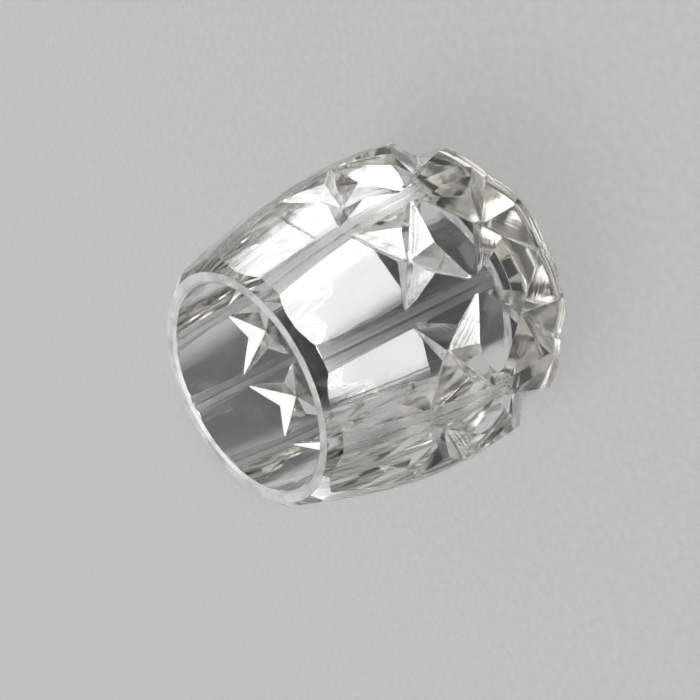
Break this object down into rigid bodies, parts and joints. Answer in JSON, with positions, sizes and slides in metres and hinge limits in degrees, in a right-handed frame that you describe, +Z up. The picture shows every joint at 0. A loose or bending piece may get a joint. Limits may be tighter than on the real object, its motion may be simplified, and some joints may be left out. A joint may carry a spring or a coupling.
{
  "type": "toothpick holder",
  "caption": "Small barrel-shaped tumbler of clear cut glass that stands on a flat base and holds toothpicks upright, with panels down its side and a belt of deep star cuts.",
  "frame": {"origin": "centre of the flat base, on the surface that the holder stands on", "axes": "+Z up along the axis of the round inside, towards the lip; one panel faces -Y"},
  "size_m": [0.0564, 0.0544, 0.051],
  "materials": {
    "clear_glass": "polished"
  },
  "bodies": {
    "root": {"glass_holder": "clear_glass"}
  },
  "joints": []
}
